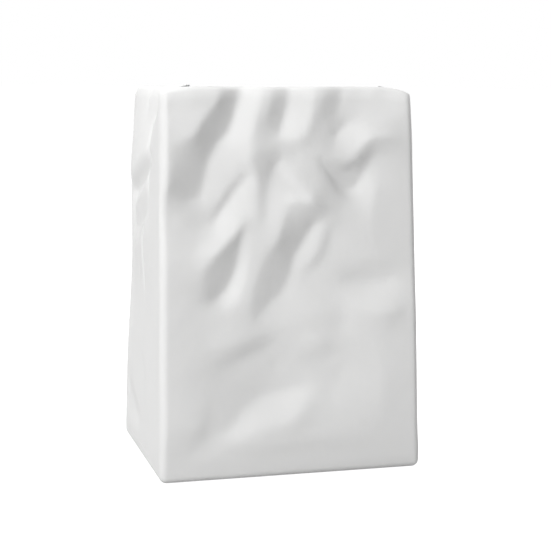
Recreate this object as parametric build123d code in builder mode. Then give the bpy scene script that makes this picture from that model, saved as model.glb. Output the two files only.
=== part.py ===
"""Porcelain vase in the form of a crumpled paper bag.

Two crumpled walls and two folded gussets stand on a base slab, with a glaze lining inside.
"""

from build123d import *

import os
from math import cos, hypot, radians, sin, sqrt

os.makedirs("parts", exist_ok=True)

# Lengths are in millimetres. X runs along the front wall, -Y is the front, Z is up,
# and the origin is on the resting plane under the middle of the base.

# The bag
vase_height = 200.0
base_width = 140.5
base_depth = 107.0
rim_width = 133.5
rim_depth = 72.0
wall_thickness = 4.0

# The base slab that the walls stand on
base_thickness = 7.0
foot_round = 3.6
foot_round_limit_share = 0.95
foot_ring_width = 9.0
foot_recess = 1.5
recess_round = 8.0

# The lip, a half round along the top of every wall
lip_round = wall_thickness / 2
lip_turn = 78.0
lip_steps = 5

# The top corners of the walls, rounded off in elevation
corner_drop = 4.0
front_corner_run = 20.0
back_corner_run = 3.0

# The gussets: a shallow fold down the side that tucks in behind the front wall at the rim
least_fold = 0.6
side_fold = 3.0
rim_fold = 12.0
rim_fold_place = 4.5
fold_round_share = 0.5
fold_start_share = 0.30
fold_full_share = 0.68
tuck_start_share = 0.80

# The glaze lining, which ends a little below the lip
glaze_gap = 0.3
glaze_thickness = 0.6
glaze_drop = 6.0
glaze_inset = glaze_gap + glaze_thickness

# Crumples: a fold line of rise share 1 stands out this far; crumples die out before the seams and the base
crumple_depth = 1.8
seam_clearance = 2.0
crumple_fade = 12.0

section_levels = 37
wall_points = 29

# The net on which a wall's crumples are worked out, and the rounds of pulling tight and softening
net_columns = 68
net_rows = 100
net_base_rows = 2
fold_steps = 60
pull_rounds = 150
pull_share = 1.8
soften_rounds = 12

# Fold lines of the crumpled walls: crests have positive rises, floors of creases negative ones.
# A point is a share of the half width, a share of the height and a rise share.
front_fold_shares = [
    # swell beside the left corner: its crest, then the floor of the groove and hollow right of it
    [(-0.54, 0.99, 1.1), (-0.58, 0.955, 1.5), (-0.70, 0.91, 1.8), (-0.75, 0.875, 1.8), (-0.92, 0.85, 1.3)],
    [(-0.93, 0.80, 0.9), (-0.945, 0.745, 0.5)],
    [(-0.93, 0.93, 0.9), (-0.93, 0.99, 0.6)],
    [(-0.75, 0.99, 1.2), (-0.78, 0.94, 1.3)],
    [(-0.37, 0.99, -0.9), (-0.40, 0.955, -1.2), (-0.46, 0.885, -1.5), (-0.58, 0.85, -1.5),
     (-0.63, 0.80, -1.8), (-0.68, 0.718, -2.2), (-0.77, 0.712, -1.5), (-0.89, 0.725, -0.2)],
    [(-0.72, 0.65, -0.6), (-0.85, 0.66, 0.0)],
    # first ridge: left edge, right edge, lower end
    [(-0.20, 0.99, 1.1), (-0.27, 0.93, 1.8), (-0.31, 0.86, 1.5), (-0.34, 0.838, 1.2), (-0.47, 0.838, 0.0)],
    [(-0.10, 0.99, 1.0), (-0.17, 0.93, 1.8), (-0.24, 0.893, 1.3)],
    # second groove and second ridge
    [(0.00, 0.99, -1.0), (-0.03, 0.93, -1.2), (-0.08, 0.882, -0.7)],
    [(-0.16, 0.868, 0.5), (-0.06, 0.862, 0.6), (0.08, 0.862, 1.5)],
    [(0.20, 0.99, 1.0), (0.16, 0.92, 1.5), (0.115, 0.88, 1.6)],
    # third groove
    [(0.29, 0.99, 0.9), (0.22, 0.94, 1.3)],
    [(0.44, 0.99, -0.7), (0.37, 0.93, -0.2), (0.33, 0.88, 0.2), (0.22, 0.87, 1.2)],
    # bulge on the right: its crest and its back
    [(0.20, 0.832, 1.5), (0.27, 0.828, 1.3), (0.34, 0.815, 1.1), (0.42, 0.803, 1.4), (0.50, 0.818, 1.5),
     (0.55, 0.85, 1.6), (0.62, 0.868, 1.7), (0.74, 0.868, 1.5), (0.88, 0.86, 0.9)],
    [(0.36, 0.875, 0.0), (0.46, 0.90, 0.2), (0.60, 0.912, 0.7), (0.76, 0.90, 0.9)],
    [(0.58, 0.985, 0.0), (0.70, 0.98, 0.3), (0.82, 0.985, -0.3), (0.92, 0.96, 0.0)],
    # dent below the bulge: its floor, then the sharp rise on its lower left
    [(0.21, 0.82, 1.0), (0.30, 0.785, -0.9), (0.39, 0.746, -1.7), (0.46, 0.735, -1.7), (0.53, 0.745, -1.3),
     (0.575, 0.785, -0.4), (0.66, 0.825, 0.5), (0.80, 0.82, 0.6)],
    [(0.18, 0.81, 0.9), (0.27, 0.773, 0.3), (0.37, 0.732, -0.5), (0.45, 0.718, -0.9)],
    [(0.68, 0.745, 0.4), (0.66, 0.68, 0.6), (0.66, 0.60, 0.6)],
    [(0.46, 0.68, -0.6), (0.50, 0.60, -0.4)],
    [(0.90, 0.76, 0.0), (0.90, 0.64, -0.1), (0.92, 0.52, -0.3)],
    # dark tail below the first ridge: its edge, its floor
    [(-0.33, 0.822, 1.0), (-0.27, 0.775, 0.4), (-0.25, 0.72, 0.2), (-0.24, 0.66, 0.3)],
    [(-0.30, 0.838, 1.2), (-0.11, 0.842, 0.6)],
    [(-0.09, 0.81, -0.8), (-0.15, 0.78, -1.4), (-0.19, 0.73, -1.0), (-0.20, 0.66, -0.2)],
    [(0.02, 0.82, 0.2), (0.12, 0.82, 0.8)],
    # wedge: bright edge, then the top of the broad fold
    [(-0.06, 0.797, -0.3), (0.01, 0.773, 0.5), (0.08, 0.745, 1.0), (0.165, 0.713, 1.5)],
    [(-0.08, 0.775, -0.7), (-0.02, 0.752, -0.2), (0.05, 0.725, 0.3), (0.12, 0.704, 0.9)],
    [(0.10, 0.775, 0.6), (0.20, 0.735, 1.2)],
    [(-0.02, 0.700, 0.9), (0.04, 0.707, 1.2), (0.11, 0.698, 1.5), (0.24, 0.687, 1.3)],
    [(0.25, 0.735, 0.9), (0.28, 0.685, 0.9)],
    [(0.36, 0.70, -0.4), (0.36, 0.655, -0.6)],
    # narrow crease: its edge and its floor
    [(-0.36, 0.795, 0.3), (-0.47, 0.745, -0.4), (-0.58, 0.69, -1.0), (-0.66, 0.655, -0.9)],
    [(-0.34, 0.768, -0.6), (-0.43, 0.73, -1.5), (-0.53, 0.68, -1.8), (-0.60, 0.65, -1.3)],
    # ridge above the drop, and the drop's floor
    [(-0.385, 0.66, 0.2), (-0.42, 0.63, 0.6), (-0.48, 0.605, 1.2), (-0.57, 0.57, 1.5), (-0.66, 0.54, 1.2),
     (-0.69, 0.50, 0.6), (-0.66, 0.475, 0.2)],
    [(-0.70, 0.60, 0.0), (-0.82, 0.57, 0.5), (-0.92, 0.56, 0.6)],
    [(-0.375, 0.635, -0.1), (-0.39, 0.59, -0.6), (-0.42, 0.535, -1.3), (-0.48, 0.49, -1.7),
     (-0.55, 0.468, -1.5), (-0.62, 0.462, -0.7)],
    # ridge round the drop
    [(-0.64, 0.425, 0.2), (-0.52, 0.432, 0.6), (-0.43, 0.452, 0.6), (-0.365, 0.495, 0.3),
     (-0.335, 0.55, 0.2), (-0.32, 0.61, 0.3), (-0.29, 0.68, 0.3), (-0.29, 0.75, 0.2)],
    [(-0.36, 0.69, -0.4), (-0.36, 0.74, -0.6)],
    # broad fold: its crest and its floor
    [(-0.05, 0.69, 0.8), (-0.09, 0.635, 0.9), (-0.13, 0.60, 0.8), (-0.20, 0.575, 0.7), (-0.27, 0.53, 0.5),
     (-0.31, 0.48, 0.3), (-0.34, 0.43, 0.2)],
    [(-0.22, 0.62, 0.4), (-0.14, 0.66, 0.4)],
    [(0.25, 0.652, -0.2), (0.15, 0.64, -0.9), (0.08, 0.60, -1.5), (0.00, 0.562, -1.6), (-0.03, 0.51, -1.8),
     (-0.08, 0.47, -1.9), (-0.17, 0.455, -1.3), (-0.26, 0.41, -0.8)],
    # oval beside it
    [(0.25, 0.635, -0.4), (0.23, 0.59, -0.5), (0.15, 0.553, -0.8), (0.07, 0.538, -1.2)],
    [(0.33, 0.62, -0.9), (0.30, 0.57, -1.1), (0.20, 0.53, -1.4), (0.08, 0.505, -1.5)],
    # groove on the right and the bright patch below it
    [(0.42, 0.56, -0.7), (0.55, 0.555, -0.2), (0.70, 0.55, 0.1), (0.84, 0.54, -0.1)],
    [(0.38, 0.495, -0.8), (0.50, 0.507, -1.2), (0.63, 0.497, -1.2), (0.78, 0.505, -0.4)],
    [(0.45, 0.44, -0.5), (0.58, 0.425, -0.1), (0.72, 0.415, 0.7), (0.82, 0.43, 0.5)],
    [(0.70, 0.36, 0.3), (0.90, 0.38, 0.1)],
    # quiet middle
    [(-0.10, 0.395, -0.7), (0.05, 0.395, -0.4), (0.25, 0.42, -0.4), (0.42, 0.38, -0.5)],
    [(0.10, 0.345, -0.2), (0.18, 0.342, 0.2), (0.26, 0.335, 0.2)],
    [(0.10, 0.298, -0.8), (0.20, 0.298, -0.7), (0.32, 0.305, -0.4)],
    # low fold on the left
    [(-0.56, 0.335, 0.1), (-0.44, 0.338, 0.1), (-0.32, 0.353, -0.1), (-0.20, 0.362, -0.5)],
    [(-0.54, 0.288, -0.7), (-0.44, 0.293, -1.1), (-0.30, 0.315, -1.3), (-0.18, 0.33, -1.3)],
    [(-0.30, 0.26, -1.3), (-0.20, 0.265, -1.5), (-0.10, 0.29, -1.7)],
    # bright band above the base: its upper edge and its lower edge
    [(-0.58, 0.118, -0.4), (-0.44, 0.138, -0.9), (-0.36, 0.18, -1.3), (-0.22, 0.208, -1.9),
     (-0.02, 0.222, -1.7), (0.10, 0.232, -1.2)],
    [(-0.54, 0.094, 0.0), (-0.38, 0.102, 0.6), (-0.24, 0.13, 0.5), (-0.06, 0.133, 1.0), (0.05, 0.165, 0.6),
     (0.13, 0.20, -0.1)],
    [(-0.30, 0.07, 0.9), (-0.08, 0.08, 1.1), (0.10, 0.10, 1.0), (0.30, 0.105, 1.0), (0.52, 0.11, 1.0)],
    [(0.30, 0.20, -0.1), (0.40, 0.27, -0.3)],
    # swells at the corners
    [(0.74, 0.10, 1.2), (0.68, 0.165, 1.5), (0.72, 0.25, 1.0), (0.68, 0.31, 0.4)],
    [(0.88, 0.14, 0.8), (0.90, 0.26, 0.4)],
    [(-0.92, 0.142, 1.3), (-0.80, 0.142, 1.4), (-0.71, 0.135, 1.1)],
    [(-0.62, 0.15, -0.1), (-0.66, 0.09, 0.2), (-0.80, 0.075, 0.6)],
    [(-0.88, 0.19, 0.6), (-0.70, 0.19, 0.3), (-0.60, 0.20, -0.3)],
    [(-0.88, 0.28, 0.5), (-0.70, 0.28, 0.1)],
    [(-0.90, 0.42, 0.6), (-0.76, 0.42, 0.3), (-0.70, 0.35, 0.2)],
    [(-0.46, 0.38, 0.2), (-0.36, 0.385, 0.0)],
]
back_fold_shares = [
    # grooves and ridges at the rim
    [(0.42, 0.99, -1.2), (0.46, 0.93, -1.4), (0.55, 0.85, -1.2), (0.62, 0.74, -1.6)],
    [(0.60, 0.99, 0.9), (0.66, 0.92, 1.3), (0.74, 0.84, 1.0)],
    [(0.26, 0.99, 1.0), (0.30, 0.92, 1.4), (0.36, 0.85, 1.0)],
    [(0.08, 0.99, -1.0), (0.12, 0.93, -1.1), (0.16, 0.87, -0.4)],
    [(-0.08, 0.99, 0.8), (-0.06, 0.93, 1.2), (0.00, 0.86, 1.2)],
    [(-0.46, 0.99, -1.0), (-0.40, 0.92, -1.2), (-0.32, 0.84, -0.8)],
    [(-0.28, 0.99, 0.8), (-0.22, 0.92, 1.0), (-0.16, 0.84, 0.8)],
    [(-0.66, 0.99, 0.8), (-0.62, 0.92, 1.2), (-0.56, 0.84, 1.4)],
    # folds across the middle
    [(-0.72, 0.80, 0.6), (-0.50, 0.79, 1.2), (-0.28, 0.77, 1.0)],
    [(-0.66, 0.70, -0.6), (-0.48, 0.69, -1.5), (-0.30, 0.71, -1.3), (-0.16, 0.74, -0.5)],
    [(-0.02, 0.74, 1.0), (0.16, 0.68, 1.2), (0.36, 0.63, 1.2), (0.58, 0.60, 0.7)],
    [(0.04, 0.66, -1.3), (0.22, 0.60, -1.7), (0.42, 0.55, -1.4), (0.66, 0.53, -0.5)],
    [(-0.70, 0.60, 0.3), (-0.50, 0.585, 1.0), (-0.30, 0.60, 1.2), (-0.12, 0.62, 0.6)],
    [(-0.62, 0.52, -0.5), (-0.44, 0.51, -1.4), (-0.24, 0.53, -1.2), (-0.06, 0.56, -0.9)],
    [(-0.56, 0.44, 0.4), (-0.34, 0.45, 0.8), (-0.10, 0.47, 0.4), (0.10, 0.50, 0.0)],
    # quiet swells and hollows lower down
    [(0.18, 0.42, -0.5), (0.40, 0.40, -1.0), (0.66, 0.42, -0.4)],
    [(0.30, 0.335, 0.3), (0.56, 0.33, 0.7), (0.78, 0.36, 0.4)],
    [(-0.62, 0.30, -0.4), (-0.40, 0.27, -1.0), (-0.14, 0.28, -1.1), (0.08, 0.30, -0.5)],
    [(0.20, 0.22, -0.6), (0.45, 0.23, -0.4)],
    [(-0.50, 0.15, 0.5), (-0.20, 0.13, 0.7), (0.15, 0.13, 0.7), (0.48, 0.14, 0.6)],
    # swells at the corners
    [(-0.90, 0.90, 0.5), (-0.90, 0.75, 0.6)],
    [(0.90, 0.90, 0.5), (0.90, 0.72, 0.5)],
    [(-0.88, 0.45, 0.3), (-0.86, 0.30, 0.3)],
    [(0.88, 0.50, 0.2), (0.88, 0.25, 0.3)],
]


def eased(share):
    """A share held between 0 and 1, with a soft start and end."""
    held = min(max(share, 0), 1)
    return held * held * (3 - 2 * held)


def half_width(up):
    """Half the width of the bag at a height."""
    return (base_width + (rim_width - base_width) * up / vase_height) / 2


def half_depth(up):
    """Half the depth of the bag at a height."""
    return (base_depth + (rim_depth - base_depth) * up / vase_height) / 2


def gusset_fold(up):
    """Depth of a gusset's fold at a height, its place behind the front wall and the span it folds over."""
    span = 2 * half_depth(up) - 2 * wall_thickness
    share = up / vase_height
    settled = eased((share - fold_start_share) / (fold_full_share - fold_start_share))
    tucked = eased((share - tuck_start_share) / (1 - tuck_start_share))
    depth = least_fold + (side_fold - least_fold) * settled + (rim_fold - side_fold) * tucked
    place = span / 2 + (rim_fold_place - span / 2) * tucked
    return depth, place, span


def gusset_line(up, inset, end_gap):
    """Ends and tip of a gusset's fold line in plan, moved in by an inset.

    Each is a distance in from the side of the bag and a distance back from the front wall.
    """
    depth, place, span = gusset_fold(up)
    front_length = hypot(depth, place)
    back_length = hypot(depth, span - place)
    front_normal = (place / front_length, -depth / front_length)
    back_normal = ((span - place) / back_length, depth / back_length)
    mitre = inset / (1 + front_normal[0] * back_normal[0] + front_normal[1] * back_normal[1])
    front_end = ((inset * front_length + end_gap * depth) / place, end_gap)
    tip = (
        depth + mitre * (front_normal[0] + back_normal[0]),
        place + mitre * (front_normal[1] + back_normal[1]),
    )
    back_end = ((inset * back_length + end_gap * depth) / (span - place), span - end_gap)
    return front_end, tip, back_end


def gusset_points(up, side, inset, end_gap=0):
    """The points of a gusset's fold line on the left (side -1) or right (side 1) of the bag."""
    front = -half_depth(up) + wall_thickness
    line = gusset_line(up, inset, end_gap)
    return [(side * (half_width(up) - inwards), front + back) for inwards, back in line]


def fold_round(up):
    """Radius of the tip of a gusset's fold at a height."""
    return gusset_fold(up)[1] * fold_round_share


def pulled_sheet(folds):
    """Rise shares over a wall on an even net: a sheet pulled tight over the fold lines, then softened."""
    held = {}
    for fold in folds:
        for start, end in zip(fold, fold[1:]):
            for step in range(fold_steps + 1):
                across, up, rise = [low + (high - low) * step / fold_steps for low, high in zip(start, end)]
                held[round(up * net_rows), round((1 + across) / 2 * net_columns)] = rise
    rows, columns = range(net_rows + 1), range(net_columns + 1)
    sheet = [[held.get((row, column), 0) for column in columns] for row in rows]
    inside = [(row, column) for row in rows[net_base_rows:] for column in columns[1:-1]]
    loose = [spot for spot in inside if spot not in held]

    def beside(row, column):
        above = sheet[min(row + 1, net_rows)][column]
        return (above + sheet[row - 1][column] + sheet[row][column - 1] + sheet[row][column + 1]) / 4

    for turn in range(pull_rounds):
        for row, column in loose:
            sheet[row][column] += pull_share * (beside(row, column) - sheet[row][column])
    for turn in range(soften_rounds):
        softer = {(row, column): (sheet[row][column] + beside(row, column)) / 2 for row, column in inside}
        for (row, column), rise in softer.items():
            sheet[row][column] = rise
    return sheet


front_sheet = pulled_sheet(front_fold_shares)
back_sheet = pulled_sheet(back_fold_shares)


def sheet_rise(sheet, across, up):
    """Rise share of a wall's sheet at a share of the half width and a share of the height."""
    column = (1 + across) / 2 * net_columns
    row = up * net_rows
    left = min(int(column), net_columns - 1)
    low = min(int(row), net_rows - 1)
    lower = sheet[low][left] + (sheet[low][left + 1] - sheet[low][left]) * (column - left)
    upper = sheet[low + 1][left] + (sheet[low + 1][left + 1] - sheet[low + 1][left]) * (column - left)
    return lower + (upper - lower) * (row - low)


def relief(sheet, across, up):
    """How far the crumples move a wall out at a point, dying out before the seams and the base."""
    seam = gusset_line(up, wall_thickness + glaze_inset, glaze_inset)[0][0] + seam_clearance
    side_share = eased((half_width(up) - seam - abs(across)) / crumple_fade)
    base_share = eased((up - base_thickness) / crumple_fade)
    rise = crumple_depth * sheet_rise(sheet, across / half_width(up), up / vase_height)
    return side_share * base_share * rise


def levels():
    """Heights of a wall's sections with the thinning of the lip on either face at each."""
    straight = vase_height - lip_round - base_thickness
    rows = [(base_thickness + straight * step / (section_levels - 1), 0) for step in range(section_levels)]
    for step in range(1, lip_steps + 1):
        turn = radians(lip_turn * step / lip_steps)
        rise = lip_round * sin(turn) / sin(radians(lip_turn))
        rows.append((vase_height - lip_round + rise, lip_round * (1 - cos(turn))))
    return rows


def corner_cut(up, run):
    """How much shorter a wall is at each end, where its top corner is rounded off over a run."""
    rise = max(0, up - vase_height + corner_drop) / corner_drop
    return run * (1 - sqrt(max(0, 1 - rise * rise)))


def spread(end):
    """Evenly spread places from -end to end."""
    return [end * (2 * step / (wall_points - 1) - 1) for step in range(wall_points)]


def smooth_edge(points):
    """A smooth edge through points, with the same spacing of its parameter on every section."""
    shares = [step / (len(points) - 1) for step in range(len(points))]
    return Edge.make_spline([Vector(*point) for point in points], parameters=shares)


def wall_section(up, thinning, facing, sheet, corner_run):
    """Plan of the front (facing -1) or back (facing 1) wall at a height."""
    thickness = wall_thickness - 2 * thinning
    end = half_width(up) - thinning - corner_cut(up, corner_run)
    outside = half_depth(up) - thinning
    inside = outside - thickness
    places = spread(end - thickness)
    rises = [relief(sheet, place, up) for place in places]
    outer = [(place, facing * (outside + rise)) for place, rise in zip(places, rises)]
    inner = [(place, facing * (inside + rise)) for place, rise in zip(places, rises)]
    left_end = (-end, facing * (inside + rises[0]))
    right_end = (end, facing * (inside + rises[-1]))
    with BuildSketch(Plane.XY.offset(up)) as section:
        with BuildLine():
            add(smooth_edge(outer))
            add(smooth_edge(inner))
            RadiusArc(left_end, outer[0], facing * thickness)
            RadiusArc(outer[-1], right_end, facing * thickness)
            Line(left_end, inner[0])
            Line(inner[-1], right_end)
        make_face()
    return section.sketch


def gusset_section(up, thinning, side):
    """Plan of the left (side -1) or right (side 1) gusset at a height."""
    outer = gusset_points(up, side, thinning)
    inner = gusset_points(up, side, wall_thickness - thinning)
    with BuildSketch(Plane.XY.offset(up)) as section:
        with BuildLine():
            FilletPolyline(*outer, radius=fold_round(up))
            FilletPolyline(*inner, radius=fold_round(up))
            Line(outer[0], inner[0])
            Line(outer[-1], inner[-1])
        make_face()
    return section.sketch


def cavity_section(up, inset):
    """Plan of the space inside the bag at a height, an inset clear of its walls."""
    left = gusset_points(up, -1, wall_thickness + inset, inset)
    right = gusset_points(up, 1, wall_thickness + inset, inset)
    inside = half_depth(up) - wall_thickness - inset
    front_places = spread(right[0][0])
    back_places = spread(right[-1][0])
    front = [(place, -inside - relief(front_sheet, place, up)) for place in front_places]
    back = [(place, inside + relief(back_sheet, place, up)) for place in back_places]
    with BuildSketch(Plane.XY.offset(up)) as section:
        with BuildLine():
            add(smooth_edge(front))
            FilletPolyline(*right, radius=fold_round(up))
            add(smooth_edge(back))
            FilletPolyline(*left, radius=fold_round(up))
        make_face()
    return section.sketch


def cavity_sections(bottom, inset):
    """Plans of the space inside the bag, from a height up to where the glaze ends."""
    top = vase_height - glaze_drop
    between = [up for up, thinning in levels() if bottom < up < top]
    return [cavity_section(up, inset) for up in [bottom, *between, top]]


# Front wall, with both front corners of the bag
with BuildPart() as front_wall:
    loft([wall_section(up, thin, -1, front_sheet, front_corner_run) for up, thin in levels()])
front_wall.part.label = "front_wall"
export_step(front_wall.part, "parts/front_wall.step")

# Back wall, with both back corners of the bag
with BuildPart() as back_wall:
    loft([wall_section(up, thin, 1, back_sheet, back_corner_run) for up, thin in levels()])
back_wall.part.label = "back_wall"
export_step(back_wall.part, "parts/back_wall.step")

# Left gusset, between the front and back walls
with BuildPart() as left_gusset:
    loft([gusset_section(up, thin, -1) for up, thin in levels()])
left_gusset.part.label = "left_gusset"
export_step(left_gusset.part, "parts/left_gusset.step")

# Right gusset, between the front and back walls
with BuildPart() as right_gusset:
    loft([gusset_section(up, thin, 1) for up, thin in levels()])
right_gusset.part.label = "right_gusset"
export_step(right_gusset.part, "parts/right_gusset.step")

# Base slab, rounded along its lower edge and hollowed underneath to leave a foot ring
with BuildPart() as base:
    slab_width = 2 * half_width(base_thickness)
    slab_depth = 2 * half_depth(base_thickness)
    with BuildSketch():
        RectangleRounded(slab_width, slab_depth, wall_thickness)
    extrude(amount=base_thickness)
    fillet(base.edges().group_by(Axis.Z)[0], min(foot_round, foot_round_limit_share * wall_thickness))
    with BuildSketch():
        RectangleRounded(slab_width - 2 * foot_ring_width, slab_depth - 2 * foot_ring_width, recess_round)
    extrude(amount=foot_recess, mode=Mode.SUBTRACT)
base.part.label = "base"
export_step(base.part, "parts/base.step")

# Glaze lining over the floor and the inner faces of the walls
with BuildPart() as inner_glaze:
    loft(cavity_sections(base_thickness, glaze_gap))
    loft(cavity_sections(base_thickness + glaze_thickness, glaze_inset), mode=Mode.SUBTRACT)
inner_glaze.part.label = "inner_glaze"
export_step(inner_glaze.part, "parts/inner_glaze.step")
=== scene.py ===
"""Dresses the crumpled paper-bag vase: matt porcelain walls, folded sides, a base and a glazed inside."""

import math

import bmesh
import bpy
import numpy as np
from bpy.props import FloatProperty, FloatVectorProperty, IntProperty, PointerProperty
from mathutils import Matrix, Vector


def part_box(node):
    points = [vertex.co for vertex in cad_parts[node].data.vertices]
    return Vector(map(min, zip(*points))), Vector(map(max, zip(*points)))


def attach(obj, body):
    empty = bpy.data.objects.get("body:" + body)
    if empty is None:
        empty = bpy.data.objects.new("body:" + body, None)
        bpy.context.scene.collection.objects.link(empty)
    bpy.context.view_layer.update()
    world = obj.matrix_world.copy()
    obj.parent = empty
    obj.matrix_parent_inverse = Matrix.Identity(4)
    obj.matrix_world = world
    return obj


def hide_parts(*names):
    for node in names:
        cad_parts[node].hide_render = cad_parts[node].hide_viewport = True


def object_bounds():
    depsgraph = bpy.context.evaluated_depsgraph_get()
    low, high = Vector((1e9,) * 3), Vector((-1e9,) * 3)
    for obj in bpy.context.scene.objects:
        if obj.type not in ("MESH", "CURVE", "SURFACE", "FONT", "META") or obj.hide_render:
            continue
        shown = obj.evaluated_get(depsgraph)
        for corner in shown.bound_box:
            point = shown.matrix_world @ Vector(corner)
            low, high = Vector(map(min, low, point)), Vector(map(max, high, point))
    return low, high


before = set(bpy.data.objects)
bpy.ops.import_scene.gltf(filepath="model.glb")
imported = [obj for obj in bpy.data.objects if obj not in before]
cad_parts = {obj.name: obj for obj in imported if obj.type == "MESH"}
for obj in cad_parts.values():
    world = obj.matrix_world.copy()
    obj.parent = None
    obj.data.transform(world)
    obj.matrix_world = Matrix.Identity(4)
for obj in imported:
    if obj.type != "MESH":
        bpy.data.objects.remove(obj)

bl_info = {
    "name": "Crumpled Bag Vase",
    "version": (1, 0, 0),
    "blender": (4, 5, 0),
    "location": "3D View > Sidebar > Bag Vase",
    "description": "Matt porcelain walls, folded sides, base and glazed inside of a paper-bag vase",
    "category": "Object",
}

CAD_LOW, CAD_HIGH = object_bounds()
BASE_LOW, BASE_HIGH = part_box("base")
MM = 0.001

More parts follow.
